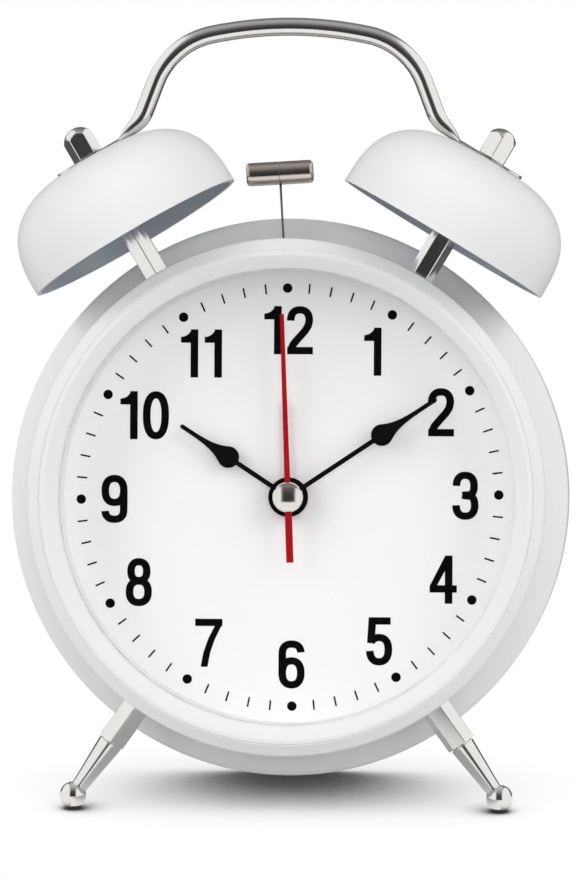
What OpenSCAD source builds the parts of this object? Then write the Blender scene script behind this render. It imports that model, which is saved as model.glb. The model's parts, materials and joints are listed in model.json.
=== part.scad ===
// Twin bell alarm clock with a quartz movement.
// Seen from the front, X runs right, Y runs back into the case and Z runs up.
// Every piece is drawn about the dial axis and then leaned back onto the table.

/* [Case] */
// Backward lean of the clock on the table, degrees
lean = 11.5; // [8:0.5:14]
// Outer radius of the neck that carries bells, legs and hammer slot
neck_r = 53; // [51:0.1:54]
// Outer radius of the rear drum
drum_r = 58.6; // [57:0.1:61]
// Sheet thickness of the case
sheet = 1; // [0.8:0.1:1.2]
// Depth from the bezel crest to the end of the neck
neck_end = 14; // [13:0.1:15]
// Length of the rounded shoulder between neck and drum
shoulder = 4; // [3:0.1:6]
// Depth from the bezel crest to the rear edge of the case
case_end = 42; // [41:0.5:46]

/* [Front] */
// Overhang of the bezel's edge beyond the neck
bezel_edge = 1; // [0.9:0.05:1.6]
// Distance of the bezel's front crest inside its edge
crest_in = 2.8; // [2.2:0.1:3.4]
// Distance of the bezel's window inside its crest
window_in = 3.5; // [3:0.1:4.5]
// Thickness of the lens
lens_t = 1.8; // [1:0.1:2.5]
// Depth from the bezel crest to the face of the dial
dial_d = 14.5; // [13.5:0.1:15]
// Thickness of the dial
dial_t = 0.6; // [0.4:0.1:1]

/* [Bells] */
// Angle of each bell from straight up, degrees
bell_angle = 30.7; // [28:0.1:34]
// Radius of the bell's mouth
bell_r = 23.9; // [20:0.1:24.5]
// Height of a bell
bell_h = 18.8; // [17:0.1:20]
// Wall of a bell
bell_t = 1; // [0.8:0.1:1.4]
// Radius of the flat crown of a bell
crown_r = 7.6; // [7:0.1:9]
// Distance of the bell's mouth from the dial axis
mouth_d = 63; // [62:0.1:66]
// Width of a bell post across its flats
post_af = 5; // [4.6:0.1:6]
// Width of a cap nut across its flats
cap_af = 5.8; // [5:0.1:7]
// Height of a cap nut's six-sided part
cap_h = 4.8; // [3:0.1:6]
// Depth from the bezel crest to the bells, legs and hammer
post_d = 9.5; // [9:0.1:10]

/* [Handle] */
// Radius of the handle's rod
rod_r = 1.9; // [1.5:0.01:2.1]
// Height of the rod's centre line above the dial axis
handle_top = 98.5; // [96:0.5:104]
// Radius of the gentle top arch
arch_r = 80; // [70:1:140]
// Radius of the two corners
corner_r = 16; // [6:0.1:18]
// Outward slope of the sides, degrees from upright
side_slope = 20.6; // [14:0.2:26]
// Thickness of the flattened ends
tab_t = 0.85; // [0.7:0.05:1.2]
// Width of the flattened ends
tab_w = 7; // [6.5:0.1:9]
// Length of a flattened end from the nut outwards
tab_out = 7.6; // [7:0.1:9]

/* [Legs] */
// Angle of each leg from straight down, degrees
leg_angle = 35.5; // [32:0.5:40]
// Width of the leg's six-sided root across its flats
leg_af = 5.6; // [5.2:0.1:6.4]
// Distance from the dial axis to the end of the six-sided root
leg_root_end = 63.2; // [61:0.1:64]
// Length of the leg's cone
leg_cone = 11; // [10:0.1:13]
// Radius of the cone at its root
leg_cone_r = 2.6; // [2.2:0.05:2.8]
// Radius of the cone at the ball
leg_tip_r = 1.72; // [1.4:0.02:2]
// Radius of the ball
ball_r = 2.85; // [2.3:0.05:3.2]
// Distance from the dial axis to the ball's centre
ball_d = 77; // [76:0.1:80]

/* [Hammer] */
// Radius of the hammer head
head_r = 2.44; // [2:0.02:2.6]
// Length of the hammer head
head_len = 14; // [12:0.1:15]
// Height of the hammer head above the dial axis
head_z = 67.9; // [67:0.1:70]
// Radius of the hammer wire
wire_r = 0.35; // [0.3:0.05:0.5]
// Height of the hammer pivot above the dial axis
pivot_z = 35; // [34.5:0.1:36]
// Angle of the hammer at rest, degrees to the left
hammer_rest = 3.5; // [1:0.5:4]
// Width of the slot in the neck
slot_w = 13; // [12:0.5:16]

/* [Hands] */
// Clock angle of the hour hand, degrees
hour_at = 303.3; // [0:0.1:360]
// Clock angle of the minute hand, degrees
minute_at = 56.2; // [0:0.1:360]
// Clock angle of the second hand, degrees
second_at = 357.8; // [0:0.1:360]
// Clock angle of the alarm hand, degrees
alarm_at = 357.8; // [0:0.1:360]
// Length of the hour hand
hour_len = 27.2; // [24:0.1:30]
// Length of the minute hand
minute_len = 37.3; // [34:0.1:40]
// Radius of the drop on the hour and minute hands
drop_r = 2.28; // [2:0.02:2.6]
// Width of the stalk between hub and drop
stalk_w = 1; // [0.8:0.02:1.2]
// Radius of the hub of the hour and minute hands
hub_r = 4.15; // [3.8:0.05:4.4]
// Width of the second hand at its root
second_w = 1.2; // [1:0.05:1.6]
// Length of the second hand
second_len = 38.4; // [36:0.1:42]
// Length of the second hand's tail
tail_len = 13.7; // [10:0.1:16]
// Length of the alarm hand
alarm_len = 20; // [16:0.1:24]
// Radius of the bright cap over the hands
cap_r = 3.25; // [2.8:0.05:3.6]

/* [Movement] */
// Half width of the movement housing
housing_x = 24; // [23:0.1:25]
// Top of the movement housing above the dial axis
housing_top = 20.6; // [20.5:0.05:20.8]
// Bottom of the movement housing below the dial axis
housing_bottom = 27; // [26:0.1:27.4]
// Wall of the movement housing
housing_t = 1.2; // [1:0.1:1.4]
// Thickness of the chassis plate
plate_t = 2; // [1.6:0.1:2.2]
// Thickness of a wheel
wheel_t = 0.8; // [0.6:0.05:0.9]
// Distance between the levels of the wheels
level_step = 1.6; // [1.5:0.05:1.7]
// Distance from the dial axis to the two setting arbors
arbor_x = 12; // [11.8:0.1:12.4]
// Radius of the setting arbors
arbor_r = 1; // [0.8:0.05:1.2]
// Radius of the alarm motor
motor_r = 7.5; // [6.5:0.1:8]
// Length of the alarm motor
motor_len = 15; // [12:0.5:15.5]
// Throw of the crank pin
crank_throw = 1; // [0.8:0.05:1.1]

/* [Rear] */
// Thickness of the rear cover
cover_t = 2; // [1.6:0.1:2.4]
// Radius of a setting knob
knob_r = 7; // [6:0.1:8]
// Height of a setting knob
knob_h = 6; // [5:0.1:8]
// Radius of the battery
cell_r = 7.1; // [6.9:0.05:7.25]
// Length of the battery
cell_len = 50; // [49:0.1:50.5]
// Height of the battery's axis below the dial axis
cell_z = 38; // [37.5:0.1:38.5]
// Travel of the alarm switch
switch_travel = 6; // [4:0.1:7]

/* [Fits] */
// Radial running clearance of a turning piece
run = 0.05; // [0.02:0.01:0.08]
// Clearance of a piece that is laid in place
lay = 0.1; // [0.05:0.01:0.2]
// Radial allowance of a piece that is pressed on
press = 0.02; // [0.01:0.01:0.04]

/* [Hidden] */
$fn = 64;
eps = 0.01;
white = [0.93, 0.92, 0.9];
nickel = [0.75, 0.76, 0.78];
black = [0.06, 0.06, 0.07];
red = [0.75, 0.1, 0.08];
brass = [0.8, 0.65, 0.35];

// Radii of the bezel.
bezel_r = neck_r + bezel_edge;
crest_r = bezel_r - crest_in;
window_r = crest_r - window_in;

// Front stack, as depths behind the bezel crest.
bezel_back = 4.5;
neck_front = 3;
lip_d = 3.4;
lens_back = lip_d + lens_t;
plug_end = 6.4;
neck_in = neck_r - sheet;
plug_r = neck_in - lay;
lens_r = window_r + 1.6;
spacer_in = window_r - 0.4;
spacer_out = spacer_in + 1.2;
dial_r = spacer_out + 0.2;
plate_d = dial_d + dial_t;
plate_back = plate_d + plate_t;
drum_in = drum_r - sheet;

// Bell stack, as distances from the dial axis along the bell's own axis.
crown_d = mouth_d + bell_h;
tab_d = crown_d + tab_t;
stud_r = 1.5;
stud_end = tab_d + cap_h - 0.6;
nut_t = 2.2;
nut_af = 5.5;

// Floor under the leaned clock, below the dial axis.
leg_z = ball_d * cos(leg_angle);
floor_drop = post_d * sin(lean) + leg_z * cos(lean) + ball_r;
cover_end = case_end + cover_t;
cover_edge = 0.8;
knob_front = cover_end + 0.4;
knob_end = knob_front + knob_h;
front_y = -crest_r * sin(lean);
rear_y = cover_end * cos(lean) + (drum_r - cover_edge) * sin(lean);
shift_y = (front_y + rear_y) / 2;

// Hands, as depths of their front faces.
hand_t = 0.35;
alarm_hand_d = dial_d - 1.3;
hour_hand_d = dial_d - 2.3;
minute_hand_d = dial_d - 3.4;
second_hand_d = dial_d - 4.5;
second_r = 0.5;
minute_in = second_r + run;
minute_out = 1.25;
hour_in = minute_out + run;
hour_out = 2;
alarm_in = hour_out + run;
alarm_out = 2.75;

// Wheels, as levels counted back from the chassis plate.
function level(i) = plate_back + 0.8 + i * level_step;
mid_plate_t = 0.4;
mid_plate_d = level(2) + wheel_t + (level_step - wheel_t - mid_plate_t) / 2;
housing_in = level(6) + wheel_t + 0.5;
housing_end = housing_in + housing_t;
pivot_end = housing_in + 0.8;

// Tooth counts of each meshing pair, pinion first.
minute_teeth = [12, 36];
hour_teeth = [10, 40];
alarm_teeth = [10, 40];
rotor_teeth = [8, 48];
step_teeth = [10, 50];
third_teeth = [8, 60];
centre_teeth = [8, 64];
motor_teeth = [8, 30];
function module_for(teeth, distance) = 2 * distance / (teeth[0] + teeth[1]);
step_x = 10.7;
rotor_x = 8.4;
third_z = 10;
crank_z = pivot_z - 8;
motor_x = 7.6;
motor_turn = 30;
motor_pos = [motor_x * cos(motor_turn), crank_z + motor_x * sin(motor_turn)];
crank_pin_r = 0.6;
crank_arbor_r = 1;
motor_boss_r = 2;
motor_shaft_r = 0.5;
pin_x = (pivot_z - crank_z) * tan(hammer_rest);
crank_pin = [pin_x, crank_z + sqrt(pow(crank_throw, 2) - pow(pin_x, 2))];

// Hammer parts, as depths behind the bezel crest.
lever_d = plate_back + 0.5;
lever_t = 1.2;
wire_d = lever_d + lever_t / 2;
pivot_r = 1.2;
crank_d = lever_d + lever_t + 1.2;
crank_t = 1.4;
bracket_d = crank_d + crank_t + 0.4;
bracket_t = 1.6;
wire_turn_z = neck_in - 1.7;

// Rear cover parts.
bay_t = 1.2;
bay_gap = 0.4;
bay_x = cell_len / 2 + 2.2;
bay_h = cell_r + bay_gap;
cell_d = case_end - cell_r - 0.2;
door_t = 1.4;
door_edge = 2;
screw_post_r = 3.4;
screw_r = 1.2;
screw_head_r = 2.4;
plug_wall = 2;
screw_gap = 0.9;
screw_d = min(neck_in, drum_in - plug_wall) - screw_post_r - 3 * screw_gap;
screw_x = bay_x + door_edge + screw_head_r + screw_gap;
screw_z = sqrt(pow(screw_d, 2) - pow(screw_x, 2));
screw_places = [for (x = [-1, 1]) for (z = [-1, 1]) [x * screw_x, z * screw_z]];
switch_pos = [-20, 26];

// Leans a piece back and stands it on the table.
module placed() {
    translate([0, -shift_y, floor_drop]) rotate([-lean, 0, 0]) children();
}

// Turns a profile of radius and depth about the dial axis.
module turned() {
    rotate([-90, 0, 0]) rotate_extrude($fn = 128) children();
}

// Raises a flat shape, drawn as seen from the front, from depth d to d + t.
module face(d, t) {
    translate([0, d + t, 0]) rotate([90, 0, 0]) linear_extrude(t) children();
}

// Round bar along the depth at a place seen from the front.
module bar(at, d0, d1, r) {
    translate([at[0], d0, at[1]]) rotate([-90, 0, 0]) cylinder(h = d1 - d0, r = r);
}

// Sets a piece that is drawn along Z on a ray from the dial axis.
module ray(angle) {
    translate([0, post_d, 0]) rotate([0, angle, 0]) children();
}

module hex(af, h) {
    cylinder(h = h, d = af / cos(30), $fn = 6);
}

// Flat gear outline with a tooth, or a gap, pointing along a direction.
module gear_outline(teeth, m, toward, gap = false) {
    pitch = m * teeth / 2;
    half = 90 / teeth;
    rows = [
        [pitch - 1.2 * m, -1.15], [pitch, -0.78], [pitch + 0.85 * m, -0.32],
        [pitch + 0.85 * m, 0.32], [pitch, 0.78], [pitch - 1.2 * m, 1.15]
    ];
    rotate(toward + (gap ? 180 / teeth : 0)) polygon([
        for (i = [0 : teeth - 1]) for (p = rows)
            let (a = 360 / teeth * i + half * p[1]) p[0] * [cos(a), sin(a)]
    ]);
}

// Gear wheel at a place seen from the front.
module wheel(at, d, t, teeth, m, toward, gap = false) {
    translate([at[0], 0, at[1]]) face(d, t) gear_outline(teeth, m, toward, gap);
}

// Case

module neck_holes() {
    for (s = [-1, 1]) {
        ray(s * bell_angle) cylinder(h = neck_r + 5, r = stud_r + run);
        ray(180 + s * leg_angle) cylinder(h = neck_r + 5, r = stud_r + run);
    }
    translate([-slot_w / 2, post_d - 1.5, neck_r - 8]) cube([slot_w, 3, 12]);
}

module case_shell() {
    color(white) placed() difference() {
        turned() polygon(concat(
            [[neck_r, neck_front]],
            [for (i = [0 : 8]) shoulder_point(i / 8, neck_r, drum_r)],
            [[drum_r, case_end], [drum_in, case_end]],
            [for (i = [8 : -1 : 0]) shoulder_point(i / 8, neck_in, drum_in)],
            [[neck_in, neck_front]]
        ));
        neck_holes();
    }
}

// Point on the smooth step from the neck to the drum.
function shoulder_point(u, r0, r1) =
    [r0 + (r1 - r0) * (1 - cos(180 * u)) / 2, neck_end + shoulder * u];

module bezel() {
    color(white) placed() turned() polygon(concat(
        [[neck_r + run, bezel_back], [bezel_r, bezel_back], [bezel_r, 3.2]],
        [for (a = [15 : 15 : 60]) [bezel_r - 1.5 * (1 - cos(a)), 3.2 - 1.9 * sin(a)]],
        [[crest_r + 1.2, 1.1], [crest_r + 1.2, 0.85]],
        [for (a = [60 : 15 : 90]) [crest_r + 2 * cos(a), 0.85 * (1 - sin(a))]],
        [[crest_r - 0.6, 0.1], [window_r, 1.5], [window_r - 0.2, lip_d], [lens_r + lay, lip_d]],
        [[lens_r + lay, plug_end], [plug_r, plug_end], [plug_r, neck_front], [neck_r + run, neck_front]]
    ));
}

module lens() {
    color([0.85, 0.9, 0.92, 0.3]) placed() turned()
        polygon([[0, lip_d], [lens_r, lip_d], [lens_r, lens_back], [0, lens_back]]);
}

module spacer_ring() {
    color(white) placed() turned() polygon([
        [spacer_in + 0.2, lens_back], [spacer_out, lens_back],
        [spacer_out, dial_d], [spacer_in, dial_d]
    ]);
}

module dial_plate() {
    color(white) placed() turned() polygon([
        [alarm_out + 0.6, dial_d], [dial_r, dial_d],
        [dial_r, plate_d], [alarm_out + 0.6, plate_d]
    ]);
}

module chassis_plate() {
    color([0.85, 0.85, 0.83]) placed() {
        difference() {
            union() {
                turned() polygon([
                    [alarm_out + run, plate_d], [neck_in - 0.3, plate_d],
                    [neck_in - 0.3, plate_back], [alarm_out + run, plate_back]
                ]);
                for (at = screw_places) bar(at, plate_back - eps, case_end, screw_post_r);
                bar([0, pivot_z], plate_back - eps, lever_d + lever_t + 0.4, pivot_r);
            }
            translate([-slot_w / 2, plate_d - 1, wire_turn_z - 1.4]) cube([slot_w, plate_t + 2, 10]);
            for (at = screw_places) bar(at, case_end - 9, case_end + 1, screw_r - run);
            for (s = [-1, 1]) bar([s * arbor_x, 0], plate_back - 1, plate_back + 1, arbor_r + run);
        }
    }
}

// Bells

// Radius of the bell's outside at a height over its mouth.
function bell_curve(h, r, top) = crown_r + (r - crown_r) * sqrt(1 - pow(h / top, 3));

module bell() {
    steps = 14;
    outside = [for (i = [0 : steps])
        let (h = bell_h * sin(90 * i / steps)) [bell_curve(h, bell_r, bell_h), h]];
    top = bell_h - bell_t;
    inside = [for (i = [steps : -1 : 0])
        let (h = top * sin(90 * i / steps)) [bell_curve(h, bell_r - bell_t, top), h]];
    translate([0, 0, mouth_d]) rotate_extrude($fn = 96) polygon(concat(
        outside, [[stud_r + run, bell_h], [stud_r + run, top]], inside
    ));
}

module left_bell() {
    color(white) placed() ray(-bell_angle) bell();
}

module right_bell() {
    color(white) placed() ray(bell_angle) bell();
}

// Six-sided post: its foot is cut to the neck, and studs pass through neck and crown.
module bell_post(turn) {
    post_end = crown_d - bell_t;
    difference() {
        rotate(turn) translate([0, 0, neck_in]) hex(post_af, post_end - neck_in);
        rotate([90, 0, 0]) cylinder(h = 4 * post_af, r = neck_r + lay, center = true);
    }
    translate([0, 0, neck_in - nut_t - 0.6]) cylinder(h = nut_t + sheet + 2, r = stud_r);
    translate([0, 0, post_end - eps]) cylinder(h = stud_end - post_end, r = stud_r);
}

module left_bell_post() {
    color(nickel) placed() ray(-bell_angle) bell_post(30);
}

module right_bell_post() {
    color(nickel) placed() ray(bell_angle) bell_post(0);
}

// Cap nut: a hexagon that is rounded off into a dome.
module cap_nut() {
    dome_r = 0.6 * cap_af;
    dome_z = cap_h - 0.26 * cap_af;
    difference() {
        intersection() {
            hex(cap_af, dome_z + dome_r);
            union() {
                cylinder(h = dome_z, r = dome_r);
                translate([0, 0, dome_z]) sphere(r = dome_r);
            }
        }
        translate([0, 0, -1]) cylinder(h = cap_h + 0.6, r = stud_r + run);
    }
}

module cap_nuts() {
    color(nickel) placed() for (s = [-1, 1])
        ray(s * bell_angle) translate([0, 0, tab_d]) rotate(15 * (1 + s)) cap_nut();
}

// Handle

end_d = crown_d + rod_r;
// The rod runs from the tab's inner end up the side, round a corner and over the arch.
side_normal = [cos(side_slope), sin(side_slope)];
bend_in = 13.5;
bend = end_d * [sin(bell_angle), cos(bell_angle)] - bend_in * [cos(bell_angle), -sin(bell_angle)];
arch_z = handle_top - arch_r;
// The corner's centre touches the arch from inside and the side line from inside.
side_off = bend * side_normal - corner_r;
arch_off = side_off - arch_z * side_normal[1];
arch_turn = acos(arch_off / (arch_r - corner_r));
corner_at = arch_turn + side_slope;
corner_pos = [0, arch_z] + (arch_r - corner_r) * [cos(corner_at), sin(corner_at)];
side_top = corner_pos + corner_r * side_normal;
arch_end = [0, arch_z] + arch_r * [cos(corner_at), sin(corner_at)];

module rod_arc(centre, r, from, to) {
    translate([centre[0], 0, centre[1]]) rotate([90, 0, 0]) rotate([0, 0, from])
        rotate_extrude(angle = to - from, $fn = 96) translate([r, 0]) circle(r = rod_r, $fn = 32);
}

module rod_line(from, to) {
    run_dir = to - from;
    translate([from[0], 0, from[1]]) rotate([0, atan2(run_dir[0], run_dir[1]), 0])
        cylinder(h = norm(run_dir), r = rod_r, $fn = 32);
}

// Flattened end in the crown's plane, drawn along the right bell's axis.
module handle_tab() {
    flat_end = tab_out - tab_w / 2;
    swell_len = bend_in - stud_r - 2 * rod_r;
    difference() {
        union() {
            linear_extrude(tab_t) polygon([
                [-bend_in, -rod_r], [-swell_len / 2, -tab_w / 2], [flat_end, -tab_w / 2],
                [flat_end, tab_w / 2], [-swell_len / 2, tab_w / 2], [-bend_in, rod_r]
            ]);
            translate([flat_end, 0, 0]) cylinder(h = tab_t, d = tab_w);
            translate([-bend_in, 0, rod_r]) rotate([0, 90 + atan2(rod_r, swell_len), 0])
                cylinder(h = swell_len, r1 = rod_r * 0.97, r2 = 0.3, $fn = 32);
        }
        translate([0, 0, -1]) cylinder(h = tab_t + 2, r = stud_r + run);
    }
}

// One side: the rod runs down to the crown's plane and is cut flush with it.
module handle_half() {
    foot = bend + 2 * rod_r * (bend - side_top) / norm(bend - side_top);
    difference() {
        union() {
            rotate([0, bell_angle, 0]) translate([0, 0, crown_d]) handle_tab();
            rod_line(foot, side_top);
        }
        rotate([0, bell_angle, 0]) translate([-2 * bend_in, -tab_w, crown_d - bell_h])
            cube([3 * bend_in, 2 * tab_w, bell_h]);
    }
    rod_arc(corner_pos, corner_r, side_slope, corner_at);
    for (p = [side_top, arch_end]) translate([p[0], 0, p[1]]) sphere(r = rod_r * 1.004, $fn = 32);
}

module handle() {
    color(nickel) placed() translate([0, post_d, 0]) {
        handle_half();
        mirror([1, 0, 0]) handle_half();
        rod_arc([0, arch_z], arch_r, corner_at, 180 - corner_at);
    }
}

// Legs

module leg(turn) {
    difference() {
        rotate(turn) translate([0, 0, neck_in]) hex(leg_af, leg_root_end - neck_in);
        rotate([90, 0, 0]) cylinder(h = 4 * leg_af, r = neck_r + lay, center = true);
    }
    translate([0, 0, neck_in - nut_t - 0.6]) cylinder(h = nut_t + sheet + 2, r = stud_r);
    translate([0, 0, leg_root_end - eps]) cylinder(h = leg_cone + eps, r1 = leg_cone_r, r2 = leg_tip_r);
    translate([0, 0, leg_root_end + leg_cone - eps])
        cylinder(h = ball_d - leg_root_end - leg_cone, r = leg_tip_r);
    translate([0, 0, ball_d]) sphere(r = ball_r);
}

module left_leg() {
    color(nickel) placed() ray(180 + leg_angle) leg(30);
}

module right_leg() {
    color(nickel) placed() ray(180 - leg_angle) leg(0);
}

module case_nut() {
    translate([0, 0, neck_in - nut_t - 0.4]) difference() {
        hex(nut_af, nut_t);
        translate([0, 0, -1]) cylinder(h = nut_t + 2, r = stud_r + run);
    }
}

module case_nuts() {
    color(nickel) placed() for (s = [-1, 1]) {
        ray(s * bell_angle) case_nut();
        ray(180 + s * leg_angle) case_nut();
    }
}

// Hammer

// Leans a hammer piece to its rest angle about the pivot.
module hammer_place() {
    translate([0, 0, pivot_z]) rotate([0, -hammer_rest, 0]) translate([0, 0, -pivot_z]) children();
}

// Head: a turned bar with rounded ends and a fine seam over the wire.
module hammer_head() {
    edge = 0.35 * head_r;
    seam = 0.12;
    middle = head_len / 2;
    low_end = [for (a = [0:18:90]) [head_r - edge + edge * sin(a), edge - edge * cos(a)]];
    high_end = [for (a = [90:-18:0]) [head_r - edge + edge * sin(a), head_len - edge + edge * cos(a)]];
    outline = concat(
        [[0, 0]], low_end,
        [[head_r, middle - seam], [head_r - seam, middle], [head_r, middle + seam]],
        high_end, [[0, head_len]]
    );
    color(nickel) placed() hammer_place() difference() {
        translate([-middle, post_d, head_z]) rotate([0, 90, 0]) rotate_extrude() polygon(outline);
        translate([0, post_d, head_z - head_r - 1]) cylinder(h = head_r + 2, r = wire_r + press);
    }
}

// Wire: down from the head, back over the edge of the dial, and down to the lever.
module hammer_wire() {
    color(nickel) placed() hammer_place() {
        translate([0, post_d, wire_turn_z]) cylinder(h = head_z - wire_turn_z, r = wire_r, $fn = 24);
        translate([0, post_d, wire_turn_z]) sphere(r = wire_r, $fn = 24);
        bar([0, wire_turn_z], post_d, wire_d, wire_r, $fn = 24);
        translate([0, wire_d, wire_turn_z]) sphere(r = wire_r, $fn = 24);
        translate([0, wire_d, pivot_z + 3]) cylinder(h = wire_turn_z - pivot_z - 3, r = wire_r, $fn = 24);
    }
}

// Lever: a hub on the pivot, a socket for the wire above and a fork for the crank pin below.
module hammer_lever() {
    fork_in = 2.8;
    color(black) placed() hammer_place() difference() {
        face(lever_d, lever_t) difference() {
            union() {
                translate([0, pivot_z]) circle(r = 2.8);
                translate([-1, pivot_z]) square([2, 8]);
                translate([-fork_in - 1.2, crank_z - 3]) square([2 * fork_in + 2.4, pivot_z - crank_z + 2]);
            }
            translate([0, pivot_z]) circle(r = pivot_r + run);
            translate([-fork_in, crank_z - 4]) square([2 * fork_in, 4 + 3.2]);
        }
        translate([0, wire_d, pivot_z + 3]) cylinder(h = 8, r = wire_r + press, $fn = 24);
    }
}

// Hands

// Turns a flat shape that points up to a clock angle.
module clock_turn(angle) {
    rotate(-angle) children();
}

// Slim hand: a round hub, a stalk, a drop and flanks that sweep in to a round tip.
module drop_hand(length, drop_at, bore) {
    tip_r = 0.2 * drop_r;
    steps = 12;
    leave = 30;
    from = drop_r * [cos(leave), sin(leave)] + [0, drop_at];
    reach = length - tip_r - from[1];
    // The power that lets the flank leave the drop along its rim.
    sweep = tan(leave) * reach / (from[0] - tip_r);
    flank = [for (i = [0 : steps]) let (u = i / steps)
        [tip_r + (from[0] - tip_r) * pow(1 - u, sweep), from[1] + reach * u]];
    difference() {
        union() {
            circle(r = hub_r);
            translate([-stalk_w / 2, 0]) square([stalk_w, drop_at]);
            translate([0, drop_at]) circle(r = drop_r);
            polygon(concat(flank, [for (i = [steps : -1 : 0]) [-flank[i][0], flank[i][1]]]));
            translate([0, length - tip_r]) circle(r = tip_r, $fn = 24);
        }
        circle(r = bore);
    }
}

module hour_hand() {
    color(black) placed() face(hour_hand_d, hand_t) clock_turn(hour_at)
        drop_hand(hour_len, 0.557 * hour_len, hour_out + press);
}

module minute_hand() {
    color(black) placed() face(minute_hand_d, hand_t) clock_turn(minute_at)
        drop_hand(minute_len, 0.632 * minute_len, minute_out + press);
}

module second_hand() {
    root = second_w / 2;
    tip = 0.7 * root;
    tail = 1.25 * root;
    color(red) placed() face(second_hand_d, hand_t) clock_turn(second_at) difference() {
        union() {
            polygon([[-root, 0], [-tip, second_len], [tip, second_len], [root, 0]]);
            translate([-tail, -tail_len]) square([2 * tail, tail_len]);
            circle(r = 2 * second_w);
        }
        circle(r = second_r + press);
    }
}

module alarm_hand() {
    root = 0.42 * second_w;
    tip = 0.6 * root;
    color(red) placed() face(alarm_hand_d, hand_t) clock_turn(alarm_at) difference() {
        union() {
            circle(r = 0.96 * hub_r);
            polygon([[-root, 0], [-tip, alarm_len], [tip, alarm_len], [root, 0]]);
        }
        circle(r = alarm_out + press);
    }
}

module centre_cap() {
    dome = 1.5;
    ball = (cap_r * cap_r + dome * dome) / (2 * dome);
    color(nickel) placed() difference() {
        turned() intersection() {
            translate([0, second_hand_d - dome + ball]) circle(r = ball);
            translate([0, second_hand_d - dome]) square([cap_r, dome]);
        }
        bar([0, 0], second_hand_d - 0.8, second_hand_d + 1, second_r + press);
    }
}

// Movement

module pipe(d0, d1, r_in, r_out) {
    turned() polygon([[r_in, d0], [r_out, d0], [r_out, d1], [r_in, d1]]);
}

module wheel_bore(d, r) {
    bar([0, 0], d - 1, d + wheel_t + 1, r);
}

module alarm_wheel() {
    m = module_for(alarm_teeth, arbor_x);
    color(white) placed() {
        difference() {
            wheel([0, 0], level(0), wheel_t, alarm_teeth[1], m, 0, true);
            wheel_bore(level(0), alarm_in);
        }
        pipe(alarm_hand_d, level(0) + wheel_t, alarm_in, alarm_out);
    }
}

module hour_wheel() {
    m = module_for(hour_teeth, arbor_x);
    color(white) placed() {
        difference() {
            wheel([0, 0], level(1), wheel_t, hour_teeth[1], m, 180, true);
            wheel_bore(level(1), hour_in);
        }
        pipe(hour_hand_d, level(1) + wheel_t, hour_in, hour_out);
    }
}

module minute_pipe() {
    m = module_for(minute_teeth, arbor_x);
    color(brass) placed() {
        difference() {
            wheel([0, 0], level(2), wheel_t, minute_teeth[0], m, 180);
            wheel_bore(level(2), minute_in);
        }
        pipe(minute_hand_d, level(3) + wheel_t, minute_in, minute_out);
    }
}

module second_wheel() {
    color(brass) placed() {
        wheel([0, 0], level(5), wheel_t, step_teeth[1], module_for(step_teeth, step_x), -90, true);
        wheel([0, 0], level(4) - 0.2, wheel_t + 0.4, third_teeth[0], module_for(third_teeth, third_z), 90);
        bar([0, 0], second_hand_d - 0.6, pivot_end, second_r);
    }
}

module third_wheel() {
    color(white) placed() {
        wheel([0, third_z], level(4), wheel_t, third_teeth[1], module_for(third_teeth, third_z), -90, true);
        wheel([0, third_z], level(3) - 0.1, wheel_t + 0.2, centre_teeth[0],
            module_for(centre_teeth, third_z), -90);
        bar([0, third_z], mid_plate_d + 0.05, pivot_end, second_r);
    }
}

module centre_wheel() {
    color(white) placed() difference() {
        wheel([0, 0], level(3), wheel_t, centre_teeth[1], module_for(centre_teeth, third_z), 90, true);
        wheel_bore(level(3), minute_out + run);
    }
}

module intermediate_wheel() {
    color(white) placed() {
        wheel([0, -step_x], level(6), wheel_t, rotor_teeth[1], module_for(rotor_teeth, rotor_x), 0, true);
        wheel([0, -step_x], level(5) - 0.1, wheel_t + 0.2, step_teeth[0],
            module_for(step_teeth, step_x), 90);
        bar([0, -step_x], mid_plate_d + 0.05, pivot_end, second_r);
    }
}

module rotor() {
    color([0.3, 0.3, 0.33]) placed() {
        bar([rotor_x, -step_x], level(4), level(5) + wheel_t, 3);
        bar([rotor_x, -step_x], mid_plate_d + 0.05, pivot_end, second_r);
        wheel([rotor_x, -step_x], level(6) - 0.2, wheel_t + 0.4, rotor_teeth[0],
            module_for(rotor_teeth, rotor_x), 180);
    }
}

// Setting arbor with the minute wheel and the pinion of the hour wheel.
module setting_arbor() {
    color(white) placed() {
        wheel([-arbor_x, 0], level(2) + 0.1, wheel_t - 0.2, minute_teeth[1],
            module_for(minute_teeth, arbor_x), 0, true);
        wheel([-arbor_x, 0], level(1) - 0.2, wheel_t + 0.4, hour_teeth[0],
            module_for(hour_teeth, arbor_x), 0);
        bar([-arbor_x, 0], plate_back - 0.9, knob_end - 1.5, arbor_r);
    }
}

module alarm_arbor() {
    color(white) placed() {
        wheel([arbor_x, 0], level(0) - 0.2, wheel_t + 0.4, alarm_teeth[0],
            module_for(alarm_teeth, arbor_x), 180);
        bar([arbor_x, 0], plate_back - 0.9, knob_end - 1.5, arbor_r);
    }
}

// Knob with a fluted grip and a flange.
module knob(x) {
    flutes = 20;
    difference() {
        union() {
            translate([x, 0, 0]) face(knob_front + 1.2, knob_h - 1.2) difference() {
                circle(r = knob_r - 0.5);
                for (i = [0 : flutes - 1])
                    rotate(360 / flutes * i) translate([knob_r - 0.2, 0]) circle(r = 0.6, $fn = 16);
            }
            bar([x, 0], knob_front, knob_front + 1.2 + eps, knob_r);
        }
        bar([x, 0], knob_front - 1, knob_end - 1.5 + 0.05, arbor_r + press);
    }
}

module time_knob() {
    color(black) placed() knob(-arbor_x);
}

module alarm_knob() {
    color(black) placed() knob(arbor_x);
}

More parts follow.
